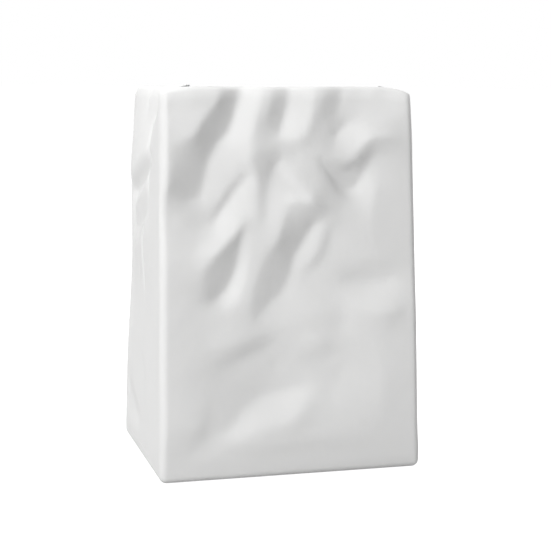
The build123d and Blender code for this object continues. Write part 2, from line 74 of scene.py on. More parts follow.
# Fold lines of the crumpled walls: crests have positive rises, floors of creases negative ones.
# A point is a share of the half width, a share of the height and a rise share.
FRONT_FOLD_SHARES = [
    # swell beside the left corner: its crest, then the floor of the groove and hollow right of it
    [(-0.54, 0.99, 1.1), (-0.58, 0.955, 1.5), (-0.70, 0.91, 1.8), (-0.75, 0.875, 1.8), (-0.92, 0.85, 1.3)],
    [(-0.93, 0.80, 1.2), (-0.945, 0.745, 0.9)],
    [(-0.93, 0.93, 0.9), (-0.93, 0.98, 0.9)],
    [(-0.75, 0.985, 1.5), (-0.78, 0.94, 1.4)],
    [(-0.37, 0.99, -0.8), (-0.40, 0.955, -1.1), (-0.46, 0.885, -1.4), (-0.58, 0.85, -1.5),
     (-0.63, 0.80, -1.8), (-0.68, 0.718, -2.1), (-0.77, 0.712, -1.5), (-0.89, 0.725, -0.2)],
    [(-0.72, 0.65, -0.6), (-0.85, 0.66, 0.0)],
    # first ridge: left edge, right edge, lower end
    [(-0.20, 0.99, 0.7), (-0.27, 0.93, 1.2), (-0.31, 0.86, 1.0), (-0.34, 0.838, 0.7), (-0.47, 0.838, -0.6)],
    [(-0.13, 0.99, 0.7), (-0.19, 0.93, 1.2), (-0.25, 0.893, 0.9)],
    # second groove and second ridge
    [(0.00, 0.99, -0.3), (-0.03, 0.93, -0.6), (-0.08, 0.882, -0.2)],
    [(-0.16, 0.868, 0.5), (-0.06, 0.862, 0.6), (0.08, 0.862, 1.5)],
    [(0.20, 0.99, 1.0), (0.16, 0.92, 1.5), (0.115, 0.88, 1.6)],
    # third groove
    [(0.29, 0.99, 0.7), (0.22, 0.94, 1.2)],
    [(0.44, 0.99, -0.8), (0.37, 0.93, -0.1), (0.32, 0.88, 0.5), (0.22, 0.87, 1.2)],
    # bulge on the right: its crest and its back
    [(0.20, 0.836, 1.1), (0.28, 0.818, 1.0), (0.36, 0.81, 0.9), (0.44, 0.808, 1.0), (0.51, 0.815, 1.2),
     (0.55, 0.84, 1.5), (0.62, 0.866, 1.7), (0.74, 0.868, 1.5), (0.90, 0.86, 1.0)],
    [(0.32, 0.79, 0.1), (0.40, 0.782, -0.4), (0.50, 0.782, -0.9)],
    [(0.36, 0.875, -0.1), (0.46, 0.905, -0.4), (0.60, 0.918, 0.2), (0.76, 0.91, 0.7), (0.92, 0.92, 0.6)],
    [(0.58, 0.985, -0.9), (0.70, 0.985, -0.6), (0.80, 0.985, -0.9), (0.92, 0.975, -0.3)],
    # dent below the bulge: its floor, then the sharp rise on its lower left
    [(0.22, 0.818, 0.7), (0.31, 0.780, -0.3), (0.39, 0.744, -1.2), (0.46, 0.733, -1.7),
     (0.54, 0.738, -1.9), (0.59, 0.775, -1.2), (0.66, 0.82, 0.1), (0.80, 0.82, 0.5)],
    [(0.19, 0.812, 0.9), (0.28, 0.772, 0.4), (0.36, 0.731, -0.2), (0.43, 0.712, -0.6)],
    [(0.68, 0.745, 0.1), (0.64, 0.68, 0.3), (0.66, 0.60, 0.2)],
    [(0.46, 0.68, -0.1), (0.50, 0.60, -0.2)],
    [(0.90, 0.76, 0.3), (0.90, 0.64, 0.3), (0.92, 0.52, 0.0)],
    # dark tail below the first ridge: its edge, its floor
    [(-0.33, 0.822, 1.0), (-0.27, 0.775, 0.4), (-0.25, 0.72, 0.2), (-0.24, 0.66, 0.3)],
    [(-0.30, 0.838, 1.2), (-0.11, 0.842, 0.6)],
    [(-0.08, 0.81, -0.5), (-0.14, 0.78, -0.8), (-0.18, 0.73, -0.3), (-0.20, 0.66, 0.1)],
    [(0.02, 0.82, 0.2), (0.12, 0.82, 0.8)],
    # wedge: bright edge, then the top of the broad fold
    [(-0.06, 0.797, -0.3), (0.01, 0.773, 0.5), (0.08, 0.745, 1.0), (0.165, 0.713, 1.5)],
    [(-0.08, 0.775, -0.7), (-0.02, 0.752, -0.2), (0.05, 0.725, 0.3), (0.12, 0.704, 0.9)],
    [(0.10, 0.775, 0.6), (0.20, 0.735, 0.9)],
    [(-0.02, 0.705, 0.9), (0.04, 0.714, 1.3), (0.11, 0.706, 1.6), (0.19, 0.697, 1.3), (0.25, 0.69, 0.7)],
    [(0.25, 0.735, 0.6), (0.28, 0.685, 0.4)],
    [(0.36, 0.70, 0.1), (0.36, 0.655, -0.2)],
    # narrow crease: its edge and its floor
    [(-0.36, 0.795, -0.1), (-0.47, 0.745, -0.9), (-0.58, 0.69, -1.4), (-0.66, 0.655, -1.1)],
    [(-0.34, 0.768, -0.7), (-0.43, 0.73, -1.7), (-0.53, 0.68, -2.0), (-0.60, 0.65, -1.4)],
    # ridge above the drop, and the drop's floor
    [(-0.385, 0.66, 0.2), (-0.42, 0.63, 0.6), (-0.49, 0.612, 1.0), (-0.58, 0.58, 1.3), (-0.67, 0.55, 1.0),
     (-0.70, 0.51, 0.4), (-0.68, 0.478, 0.0)],
    [(-0.70, 0.60, 0.0), (-0.82, 0.57, 0.5), (-0.92, 0.56, 0.6)],
    [(-0.375, 0.635, -0.1), (-0.39, 0.59, -0.6), (-0.415, 0.535, -1.4), (-0.465, 0.49, -1.9),
     (-0.54, 0.464, -1.8), (-0.62, 0.458, -0.9)],
    # ridge round the drop
    [(-0.64, 0.425, 0.0), (-0.52, 0.428, -0.2), (-0.42, 0.45, -0.3), (-0.365, 0.495, -0.3),
     (-0.335, 0.55, -0.1), (-0.32, 0.61, 0.1), (-0.29, 0.68, 0.2), (-0.29, 0.75, 0.1)],
    [(-0.36, 0.69, -0.4), (-0.36, 0.74, -0.6)],
    # broad fold: its crest and its floor
    [(-0.05, 0.69, 0.8), (-0.09, 0.635, 0.9), (-0.13, 0.60, 0.7), (-0.20, 0.575, 0.4), (-0.26, 0.53, 0.1),
     (-0.30, 0.48, -0.1), (-0.32, 0.43, -0.2)],
    [(-0.22, 0.62, 0.4), (-0.14, 0.66, 0.4)],
    [(0.26, 0.665, -0.1), (0.19, 0.645, -1.1), (0.12, 0.605, -1.7), (0.05, 0.57, -1.9), (0.01, 0.52, -2.0),
     (-0.05, 0.472, -2.0), (-0.15, 0.452, -1.5), (-0.25, 0.41, -0.9)],
    # oval beside it
    [(0.26, 0.635, -0.4), (0.23, 0.59, -0.6), (0.16, 0.553, -0.9), (0.09, 0.536, -1.4)],
    [(0.33, 0.62, -0.9), (0.30, 0.57, -1.1), (0.20, 0.53, -1.4), (0.08, 0.505, -1.5)],
    # groove on the right and the bright patch below it
    [(0.42, 0.56, -0.7), (0.55, 0.555, -0.2), (0.70, 0.55, 0.1), (0.84, 0.54, -0.1)],
    [(0.38, 0.495, -1.0), (0.50, 0.503, -1.5), (0.63, 0.495, -1.5), (0.80, 0.50, -0.7)],
    [(0.45, 0.44, -0.3), (0.56, 0.425, 0.6), (0.70, 0.415, 1.3), (0.82, 0.42, 1.2)],
    [(0.68, 0.355, 0.8), (0.90, 0.37, 0.8)],
    # quiet middle
    [(-0.10, 0.395, -0.7), (0.05, 0.395, -0.4), (0.25, 0.42, -0.4), (0.42, 0.38, -0.5)],
    [(0.10, 0.345, -0.2), (0.18, 0.342, 0.2), (0.26, 0.335, 0.2)],
    [(0.10, 0.298, -0.8), (0.20, 0.298, -0.7), (0.32, 0.305, -0.4)],
    # low fold on the left
    [(-0.57, 0.338, 0.4), (-0.44, 0.342, 0.4), (-0.32, 0.357, 0.1), (-0.20, 0.366, -0.4)],
    [(-0.54, 0.288, -0.7), (-0.44, 0.293, -1.1), (-0.30, 0.315, -1.3), (-0.18, 0.33, -1.3)],
    [(-0.30, 0.26, -1.3), (-0.20, 0.265, -1.5), (-0.10, 0.29, -1.7)],
    # bright band above the base: its upper edge and its lower edge
    [(-0.58, 0.118, -0.4), (-0.44, 0.138, -0.9), (-0.36, 0.18, -1.3), (-0.22, 0.208, -1.9),
     (-0.02, 0.222, -1.7), (0.10, 0.232, -1.2)],
    [(-0.54, 0.094, 0.0), (-0.38, 0.102, 0.4), (-0.24, 0.13, 0.5), (-0.06, 0.133, 0.7), (0.05, 0.165, 0.7),
     (0.13, 0.20, -0.1)],
    [(-0.30, 0.07, 0.4), (-0.08, 0.08, 0.5), (0.10, 0.10, 0.5), (0.30, 0.105, 0.5), (0.52, 0.11, 0.5)],
    [(0.28, 0.20, -0.4), (0.40, 0.27, -0.4)],
    # swells at the corners
    [(0.74, 0.10, 0.4), (0.68, 0.165, 0.85), (0.72, 0.25, 1.1), (0.68, 0.31, 0.8)],
    [(0.88, 0.14, 0.65), (0.90, 0.26, 1.0)],
    [(-0.92, 0.142, 0.65), (-0.80, 0.142, 0.7), (-0.71, 0.135, 0.6)],
    [(-0.62, 0.15, -0.3), (-0.66, 0.09, -0.2), (-0.80, 0.075, 0.0)],
    [(-0.88, 0.19, 0.6), (-0.70, 0.19, 0.3), (-0.60, 0.20, -0.3)],
    [(-0.88, 0.28, 0.5), (-0.70, 0.28, 0.1)],
    [(-0.90, 0.42, 0.6), (-0.76, 0.42, 0.3), (-0.70, 0.35, 0.2)],
    [(-0.46, 0.38, 0.2), (-0.36, 0.385, 0.0)],
]
BACK_FOLD_SHARES = [
    # grooves and ridges at the rim
    [(0.42, 0.99, -1.2), (0.46, 0.93, -1.4), (0.55, 0.85, -1.2), (0.62, 0.74, -1.6)],
    [(0.60, 0.99, 0.9), (0.66, 0.92, 1.3), (0.74, 0.84, 1.0)],
    [(0.26, 0.99, 1.0), (0.30, 0.92, 1.4), (0.36, 0.85, 1.0)],
    [(0.08, 0.99, -1.0), (0.12, 0.93, -1.1), (0.16, 0.87, -0.4)],
    [(-0.08, 0.99, 0.8), (-0.06, 0.93, 1.2), (0.00, 0.86, 1.2)],
    [(-0.46, 0.99, -1.0), (-0.40, 0.92, -1.2), (-0.32, 0.84, -0.8)],
    [(-0.28, 0.99, 0.8), (-0.22, 0.92, 1.0), (-0.16, 0.84, 0.8)],
    [(-0.66, 0.99, 0.8), (-0.62, 0.92, 1.2), (-0.56, 0.84, 1.4)],
    # folds across the middle
    [(-0.72, 0.80, 0.6), (-0.50, 0.79, 1.2), (-0.28, 0.77, 1.0)],
    [(-0.66, 0.70, -0.6), (-0.48, 0.69, -1.5), (-0.30, 0.71, -1.3), (-0.16, 0.74, -0.5)],
    [(-0.02, 0.74, 1.0), (0.16, 0.68, 1.2), (0.36, 0.63, 1.2), (0.58, 0.60, 0.7)],
    [(0.04, 0.66, -1.3), (0.22, 0.60, -1.7), (0.42, 0.55, -1.4), (0.66, 0.53, -0.5)],
    [(-0.70, 0.60, 0.3), (-0.50, 0.585, 1.0), (-0.30, 0.60, 1.2), (-0.12, 0.62, 0.6)],
    [(-0.62, 0.52, -0.5), (-0.44, 0.51, -1.4), (-0.24, 0.53, -1.2), (-0.06, 0.56, -0.9)],
    [(-0.56, 0.44, 0.4), (-0.34, 0.45, 0.8), (-0.10, 0.47, 0.4), (0.10, 0.50, 0.0)],
    # quiet swells and hollows lower down
    [(0.18, 0.42, -0.5), (0.40, 0.40, -1.0), (0.66, 0.42, -0.4)],
    [(0.30, 0.335, 0.3), (0.56, 0.33, 0.7), (0.78, 0.36, 0.4)],
    [(-0.62, 0.30, -0.4), (-0.40, 0.27, -1.0), (-0.14, 0.28, -1.1), (0.08, 0.30, -0.5)],
    [(0.20, 0.22, -0.6), (0.45, 0.23, -0.4)],
    [(-0.50, 0.15, 0.3), (-0.20, 0.13, 0.3), (0.15, 0.13, 0.3), (0.48, 0.14, 0.3)],
    # swells at the corners
    [(-0.90, 0.90, 0.5), (-0.90, 0.75, 0.6)],
    [(0.90, 0.90, 0.5), (0.90, 0.72, 0.5)],
    [(-0.88, 0.45, 0.3), (-0.86, 0.30, 0.3)],
    [(0.88, 0.50, 0.2), (0.88, 0.25, 0.3)],
]

# Fold lines of the folded sides, in the same form, with places across as shares from front to back.
LEFT_FOLD_SHARES = [
    # slanting step from the fold's crease down to the back corner
    [(0.46, 0.845, 0.4), (0.60, 0.815, 0.9), (0.80, 0.77, 1.0), (0.97, 0.735, 0.6)],
    [(0.46, 0.805, -0.8), (0.60, 0.775, -1.6), (0.80, 0.73, -1.7), (0.97, 0.695, -1.0)],
    # second slanting crease below it
    [(0.46, 0.765, 0.2), (0.62, 0.725, 0.4), (0.85, 0.67, 0.3)],
    [(0.50, 0.69, -0.4), (0.66, 0.645, -1.0), (0.86, 0.60, -0.9)],
    [(0.50, 0.645, 0.2), (0.66, 0.60, 0.4), (0.86, 0.55, 0.2)],
    # slanting creases low down
    [(0.62, 0.12, -0.1), (0.80, 0.165, -0.2), (0.94, 0.21, -0.1)],
    [(0.66, 0.085, -0.7), (0.84, 0.125, -0.7), (0.96, 0.17, -0.3)],
    [(0.42, 0.225, -0.1), (0.52, 0.27, -0.1)],
    [(0.46, 0.215, -0.5), (0.57, 0.265, -0.5)],
    # quiet hollows in the middle
    [(0.25, 0.45, -0.2), (0.40, 0.35, -0.3)],
    [(0.75, 0.50, -0.4), (0.80, 0.38, -0.3)],
    # notch at the rim
    [(0.63, 0.99, 0.0), (0.63, 0.93, 0.0)],
    [(0.655, 0.99, -0.9), (0.66, 0.945, -0.5)],
    [(0.685, 0.99, 0.0), (0.69, 0.93, 0.0)],
]
RIGHT_FOLD_SHARES = [
    [(0.34, 0.83, 0.3), (0.60, 0.80, 0.4), (0.90, 0.76, 0.2)],
    [(0.42, 0.775, -0.6), (0.66, 0.745, -0.8), (0.90, 0.715, -0.4)],
    [(0.36, 0.72, 0.0), (0.50, 0.66, 0.5), (0.58, 0.60, 0.5)],
    [(0.22, 0.52, -0.2), (0.42, 0.44, -0.4)],
    [(0.70, 0.46, -0.4), (0.84, 0.36, -0.3)],
    [(0.30, 0.26, -0.5), (0.50, 0.21, -0.6), (0.72, 0.18, -0.4)],
    [(0.34, 0.215, -0.1), (0.52, 0.165, -0.1)],
]

# The side's fold by share of the height: its depth in millimetres, and its place as a share of the side.
FOLD_DEPTHS = [(0.0, 0.0), (0.1, 0.3), (0.3, 0.6), (0.42, 0.8), (0.6, 1.0), (0.65, 1.2), (0.72, 1.9),
               (0.8, 2.3), (0.86, 3.3), (0.91, 4.8), (0.95, 7.0), (1.0, 12.0)]
FOLD_PLACE_SHARES = [(0.0, 0.5), (0.3, 0.52), (0.4, 0.55), (0.45, 0.57), (0.5, 0.62), (0.59, 0.63),
                     (0.65, 0.53), (0.7, 0.5), (0.86, 0.5), (0.91, 0.46), (0.95, 0.32), (1.0, 0.075)]

# Waves of the front rim by share of the half width, and how far two upright edges of the bag
# bow out by share of the height, in millimetres.
FRONT_RIM_WAVES = [(-1.0, 0.0), (-0.55, -0.4), (0.0, 0.0), (0.6, 0.4), (1.0, 0.0)]
STRAIGHT_RIM = [(-1.0, 0.0), (1.0, 0.0)]
BACK_LEFT_BOWS = [(0.0, 0.0), (0.1, 0.0), (0.2, 0.2), (0.52, -0.8), (0.74, 0.65), (1.0, 0.0)]
FRONT_RIGHT_BOWS = [(0.0, 0.0), (0.1, -0.45), (0.5, 0.25), (1.0, 0.0)]

# The sheet pulled over the fold lines: points held along each stretch of a line, rounds of pulling, how far
# each round overshoots, and the rounds of averaging that soften it by one step of the net.
STRETCH_POINTS = 200
PULL_ROUNDS = 400
PULL = 1.9
SOFTENING_ROUNDS = 4

# Shares of the height where the upper softness and the crease along a side's fold begin, and their runs.
UPPER_START_SHARE, UPPER_RUN_SHARE = 0.36, 0.12
CREASE_START_SHARE, CREASE_RUN_SHARE = 0.3, 0.4

# The least depth of a side's fold in millimetres, and the share of a flank that bends into the seam.
LEAST_FOLD = 0.02
FLANK_BEND_SHARE = 0.16

# How square the drop of the rim is at a corner, how near the seams a side's lip stays thick, and how many
# wall thicknesses below the rim the seams' own shading ends.
CORNER_FULLNESS_SHARE = 0.98
THICK_END_POWER = 8
SEAM_TOP_WALLS = 2.5

# Steps of the lip's half round, of a quarter round and of the half round along the glaze's edge.
LIP_STEPS = 12
QUARTER_STEPS = 8
GLAZE_EDGE_STEPS = 6

# Points closer than this are one point, and edges that turn by more than this angle are shaded sharp.
WELD = 1e-6
SHARP_TURN = math.radians(50)
SEAM_NOTE = "seam_direction"

# The stage: half the floor's width, its gap below the vase, what the lights face, and each light's name,
# place, width and power in watts.
FLOOR_REACH = 20
FLOOR_GAP = 0.0001
LIT_POINT = Vector((0, 0, 0.1))
SOFT_LIGHTS = [
    ("key_light", (-0.99, -0.75, 0.94), 0.35, 10.4),
    ("front_light", (-0.52, -1.12, 0.94), 0.7, 4.4),
    ("left_light", (-1.34, 0.30, 0.70), 0.7, 2.8),
    ("right_light", (1.15, 0.80, 0.50), 0.7, 8.0),
    ("back_light", (0.20, 1.35, 0.90), 0.7, 3.0),
    ("rim_light", (0.0, 0.1, 1.5), 0.6, 7.5),
]

# The camera: its place, its lens and sensor in millimetres, and its angles.
CAMERA_PLACE = (-0.1978, -0.7086, 0.2056)
CAMERA_LENS, CAMERA_SENSOR = 89.31, 36.0
CAMERA_TURN, CAMERA_TILT, CAMERA_ROLL = math.radians(15.90), math.radians(8.38), math.radians(0.64)


class BagVaseSizes(bpy.types.PropertyGroup):
    """Sizes of the vase."""

    height: FloatProperty(
        name="Height", description="Height of the highest point of the rim",
        default=CAD_HIGH.z, unit="LENGTH")
    base_width: FloatProperty(
        name="Base width", description="Width at the base slab",
        default=BASE_HIGH.x - BASE_LOW.x, unit="LENGTH")
    base_depth: FloatProperty(
        name="Base depth", description="Depth at the base slab",
        default=BASE_HIGH.y - BASE_LOW.y, unit="LENGTH")
    rim_width: FloatProperty(
        name="Rim width", description="Width at the rim", default=0.1335, unit="LENGTH")
    rim_depth: FloatProperty(
        name="Rim depth", description="Depth at the rim", default=0.072, unit="LENGTH")
    wall: FloatProperty(
        name="Wall", description="Thickness of the porcelain", default=0.004, unit="LENGTH")
    lip_taper: FloatProperty(
        name="Lip taper", description="How much thinner the porcelain is at the rim",
        default=0.0018, unit="LENGTH")
    lip_run: FloatProperty(
        name="Lip run", description="Height over which the porcelain thins to the rim",
        default=0.007, unit="LENGTH")
    base_thickness: FloatProperty(
        name="Base thickness", description="Thickness of the base slab",
        default=BASE_HIGH.z - BASE_LOW.z, unit="LENGTH")
    base_ease: FloatProperty(
        name="Base ease", description="Height over which the walls come upright at the base",
        default=0.006, unit="LENGTH")
    foot_round: FloatProperty(
        name="Foot round", description="Radius of the lower edge", default=0.0036, unit="LENGTH")
    foot_ring: FloatProperty(
        name="Foot ring", description="Width of the ring that the vase stands on",
        default=0.009, unit="LENGTH")
    foot_recess: FloatProperty(
        name="Foot recess", description="Depth of the hollow inside the foot ring",
        default=0.0015, unit="LENGTH")
    front_sink: FloatProperty(
        name="Front sink", description="How far the front rim lies below the folds' tips",
        default=0.0007, unit="LENGTH")
    back_sink: FloatProperty(
        name="Back sink", description="How far the back rim lies below the folds' tips",
        default=0.0014, unit="LENGTH")
    corner_drop: FloatProperty(
        name="Corner drop", description="How far the rim sinks at the corners",
        default=0.0045, unit="LENGTH")
    front_corner_run: FloatProperty(
        name="Front corner run", description="Length over which the front rim sinks",
        default=0.018, unit="LENGTH")
    back_corner_run: FloatProperty(
        name="Back corner run", description="Length over which the back rim sinks",
        default=0.005, unit="LENGTH")
    side_corner_run: FloatProperty(
        name="Side corner run", description="Length over which a side's rim sinks to its back corner",
        default=0.0065, unit="LENGTH")
    crumple_depth: FloatProperty(
        name="Crumple depth", description="How far a fold line of rise share 1 stands out",
        default=0.0026, unit="LENGTH")
    crumple_fade: FloatProperty(
        name="Crumple fade", description="Length over which crumples die out at the edges",
        default=0.006, unit="LENGTH")
    crease_depth: FloatProperty(
        name="Crease depth", description="Depth of the crease pressed along a side's fold",
        default=0.0011, unit="LENGTH")
    crease_width: FloatProperty(
        name="Crease width", description="Half width of the crease along a side's fold",
        default=0.0024, unit="LENGTH")
    upper_softness: FloatProperty(
        name="Upper softness", description="How soft the folds of the upper half are",
        default=0.0016, unit="LENGTH")
    lower_softness: FloatProperty(
        name="Lower softness", description="How soft the folds of the lower part are",
        default=0.0022, unit="LENGTH")
    glaze_gap: FloatProperty(
        name="Glaze gap", description="Clearance between glaze and wall", default=0.0003, unit="LENGTH")
    glaze: FloatProperty(
        name="Glaze", description="Thickness of the glaze lining", default=0.0006, unit="LENGTH")
    glaze_drop: FloatProperty(
        name="Glaze drop", description="How far below the folds' tips the glaze ends",
        default=0.006, unit="LENGTH")
    floor_round: FloatProperty(
        name="Floor round", description="Radius where the glazed floor meets the sides",
        default=0.005, unit="LENGTH")
    net: FloatProperty(
        name="Net", description="Mesh size of the net that carries the crumples",
        default=0.0007, unit="LENGTH")
    wall_columns: IntProperty(
        name="Wall columns", description="Mesh columns across a wall", default=150)
    fold_columns: IntProperty(
        name="Fold columns", description="Mesh columns across half a folded side", default=55)
    rows: IntProperty(
        name="Rows", description="Mesh rows up a wall", default=230)
    lining_columns: IntProperty(
        name="Lining columns", description="Mesh columns of the glaze across a wall", default=90)
    lining_fold_columns: IntProperty(
        name="Lining fold columns", description="Mesh columns of the glaze across half a side", default=30)
    lining_rows: IntProperty(
        name="Lining rows", description="Heights of the glaze on each of its two faces", default=100)


class BagVaseFinish(bpy.types.PropertyGroup):
    """Colours and grain of the vase and its stage."""

    porcelain: FloatVectorProperty(
        name="Porcelain", description="Colour of the unglazed porcelain",
        default=(0.84, 0.84, 0.835), size=3, subtype="COLOR", min=0, max=1)
    glaze: FloatVectorProperty(
        name="Glaze", description="Colour of the glazed inside",
        default=(0.80, 0.81, 0.81), size=3, subtype="COLOR", min=0, max=1)
    grain: FloatProperty(
        name="Grain", description="Size of the porcelain's grain", default=0.0006, unit="LENGTH")
    unevenness: FloatProperty(
        name="Unevenness", description="Size of the porcelain's faint swells", default=0.012, unit="LENGTH")
    floor: FloatVectorProperty(
        name="Floor", description="Colour of the floor as the camera sees it",
        default=(0.5, 0.5, 0.5), size=3, subtype="COLOR", min=0, max=1)
    floor_bounce: FloatVectorProperty(
        name="Floor bounce", description="Colour of the light that the floor throws back on the vase",
        default=(0.6, 0.6, 0.6), size=3, subtype="COLOR", min=0, max=1)


def eased(share):
    """A share held between 0 and 1, with a soft start and end."""
    held = np.clip(share, 0, 1)
    return held * held * (3 - 2 * held)


def through_rows(rows, place):
    """Values at a place on the smooth curve through rows of a place and its value."""
    places, values = np.array(rows, float).T
    slopes = np.gradient(values, places)
    after = np.clip(np.searchsorted(places, place, side="right"), 1, len(places) - 1)
    before = after - 1
    run = places[after] - places[before]
    share = np.clip((place - places[before]) / run, 0, 1)
    return (
        values[before] * (1 + 2 * share) * (1 - share) ** 2
        + values[after] * share ** 2 * (3 - 2 * share)
        + run * share * (1 - share) * (slopes[before] * (1 - share) - slopes[after] * share)
    )


def lean(sizes, up):
    """How far a wall has leaned in at a height, from 0 on the base to 1 at the rim."""
    soft = sizes.base_ease
    top = sizes.height - sizes.base_thickness
    return (np.hypot(up - sizes.base_thickness, soft) - soft) / (math.hypot(top, soft) - soft)


def half_width(sizes, up):
    """Half the width of the bag at a height."""
    return (sizes.base_width + (sizes.rim_width - sizes.base_width) * lean(sizes, up)) / 2


def half_depth(sizes, up):
    """Half the depth of the bag at a height."""
    return (sizes.base_depth + (sizes.rim_depth - sizes.base_depth) * lean(sizes, up)) / 2


def above_base(sizes, up):
    """Share of a crumple at a height: none at the base slab, all of it a little higher."""
    return eased((up - sizes.base_thickness) / (2 * sizes.crumple_fade))


def bowed(sizes, points):
    """Points of the bag with its back left and front right edges bowed in or out a little."""
    across, deep, up = np.moveaxis(points, -1, 0)
    width, depth = half_width(sizes, up), half_depth(sizes, up)
    share = up / sizes.height
    out_left = through_rows(BACK_LEFT_BOWS, share) * np.clip(-across / width, 0, 1) ** 2
    out_right = through_rows(FRONT_RIGHT_BOWS, share) * np.clip(across / width, 0, 1) ** 2
    back = np.clip((1 + deep / depth) / 2, 0, 1)
    moved = (out_right * (1 - back) - out_left * back) * MM
    return np.stack([across + moved * above_base(sizes, up), deep, up], axis=-1)


def fold_line(sizes, up, inset, end_gap):
    """Front end, tip and back end of a side's fold in plan, moved in by an inset.

    Each is a distance in from the side and a distance back from the front wall's inner face.
    """
    span = 2 * half_depth(sizes, up) - 2 * sizes.wall
    share = up / sizes.height
    depth = np.maximum(through_rows(FOLD_DEPTHS, share), LEAST_FOLD) * MM
    place = through_rows(FOLD_PLACE_SHARES, share) * span
    front_length = np.hypot(depth, place)
    back_length = np.hypot(depth, span - place)
    front_in, front_back = place / front_length, -depth / front_length
    back_in, back_back = (span - place) / back_length, depth / back_length
    mitre = inset / (1 + front_in * back_in + front_back * back_back)
    front_end = ((inset * front_length + end_gap * depth) / place, end_gap)
    tip = (depth + mitre * (front_in + back_in), place + mitre * (front_back + back_back))
    back_end = ((inset * back_length + end_gap * depth) / (span - place), span - end_gap)
    return front_end, tip, back_end


def beside(sheet):
    """The mean of each net point's four neighbours; a point past the edge counts as the edge's own."""
    wide = np.pad(sheet, 1, mode="edge")
    return (wide[:-2, 1:-1] + wide[2:, 1:-1] + wide[1:-1, :-2] + wide[1:-1, 2:]) / 4


def softened(sheet, net, softness):
    """A sheet after as many rounds of averaging with its neighbours as its softness asks for."""
    for turn in range(round(SOFTENING_ROUNDS * (softness / net) ** 2)):
        sheet = (sheet + beside(sheet)) / 2
    return sheet


def crumpled_sheet(sizes, folds, width, first):
    """Rises on an even net: a sheet pulled tight over fold lines, then softened.

    The net is as wide as the wall, from the first share across to 1, and as high as the vase.
    """
    columns, rows = round(width / sizes.net), round(sizes.height / sizes.net)
    sheet = np.zeros((rows + 1, columns + 1))
    held = np.zeros(sheet.shape, bool)
    held[:round(sizes.base_thickness / sizes.net)] = True
    along = np.linspace(0, 1, STRETCH_POINTS)[:, None]
    for fold in folds:
        for start, end in zip(fold, fold[1:]):
            across, up, rise = (np.array(start) * (1 - along) + np.array(end) * along).T
            column = np.rint((across - first) / (1 - first) * columns).astype(int)
            row = np.rint(up * rows).astype(int)
            sheet[row, column] = rise
            held[row, column] = True
    odd = np.indices(sheet.shape).sum(axis=0) % 2 == 1
    for turn in range(PULL_ROUNDS):
        for half in (odd & ~held, ~odd & ~held):
            sheet[half] += PULL * (beside(sheet) - sheet)[half]
    crisp = softened(sheet, sizes.net, sizes.upper_softness)
    soft = softened(sheet, sizes.net, sizes.lower_softness)
    share = np.linspace(0, 1, rows + 1)[:, None]
    upper = eased((share - UPPER_START_SHARE) / UPPER_RUN_SHARE)
    return sizes.crumple_depth * (soft + (crisp - soft) * upper)


def sheet_rise(sheet, across, up):
    """Rises of a sheet at shares across and up it."""
    rows, columns = sheet.shape[0] - 1, sheet.shape[1] - 1
    row, column = np.broadcast_arrays(np.clip(up, 0, 1) * rows, np.clip(across, 0, 1) * columns)
    low = np.minimum(row.astype(int), rows - 1)
    left = np.minimum(column.astype(int), columns - 1)
    lower = sheet[low, left] + (sheet[low, left + 1] - sheet[low, left]) * (column - left)
    upper = sheet[low + 1, left] + (sheet[low + 1, left + 1] - sheet[low + 1, left]) * (column - left)
    return lower + (upper - lower) * (row - low)


def wall_sheet(sizes, folds):
    """The crumpled sheet of the front or back wall."""
    return crumpled_sheet(sizes, folds, (sizes.base_width + sizes.rim_width) / 2, -1)


def side_sheet(sizes, folds):
    """The crumpled sheet of a folded side."""
    return crumpled_sheet(sizes, folds, (sizes.base_depth + sizes.rim_depth) / 2, 0)


def wall_relief(sizes, sheet, across, up):
    """How far a wall's outer face stands out at places across and up, dying out at the base."""
    rise = sheet_rise(sheet, (1 + across / half_width(sizes, up)) / 2, up / sizes.height)
    return above_base(sizes, up) * rise


def clear_of_sides(sizes, across, up):
    """Share of a wall's relief on its inner face, which is flat where the folded sides meet it."""
    seam = fold_line(sizes, up, sizes.wall, 0)[0][0]
    return eased((half_width(sizes, up) - seam - np.abs(across)) / sizes.crumple_fade)


def side_relief(sizes, sheet, back, up):
    """How far a folded side stands out at distances back from the front wall.

    The crease along its fold is taken off, and all of it dies out at the base and at the seams.
    """
    span = 2 * half_depth(sizes, up) - 2 * sizes.wall
    share = up / sizes.height
    clear_of_ends = eased(np.minimum(back, span - back) / sizes.crumple_fade)
    off_crease = (back - fold_line(sizes, up, 0, 0)[1][1]) / sizes.crease_width
    pressed = eased((share - CREASE_START_SHARE) / CREASE_RUN_SHARE)
    crease = sizes.crease_depth * pressed / (1 + off_crease ** 2) ** 2
    return clear_of_ends * above_base(sizes, up) * (sheet_rise(sheet, back / span, share) - crease)


def strip_rows(sizes):
    """Rows of a strip that runs up a wall's outside, over the lip and down its inside.

    Each row is a share of the straight height, a share through the wall and a share of the lip's lift.
    """
    rise = [(step / sizes.rows, 0, 0) for step in range(sizes.rows + 1)]
    turns = [math.pi * step / LIP_STEPS for step in range(1, LIP_STEPS)]
    lip = [(1, (1 - math.cos(turn)) / 2, math.sin(turn)) for turn in turns]
    fall = [(share, 1, 0) for share, through, lift in reversed(rise)]
    return np.array(rise + lip + fall).T


def strip_heights(sizes, rim, straight, lift):
    """Heights of a strip's points under a rim that varies along the strip."""
    lip = sizes.wall / 2
    return sizes.base_thickness + (rim - lip - sizes.base_thickness) * straight + lip * lift


def lip_thinning(sizes, rim, up, through):
    """How far the outer face has drawn in at a height below a varying rim."""
    return sizes.lip_taper * np.clip(1 - (rim - up) / sizes.lip_run, 0, 1) ** 2 * (1 - through)


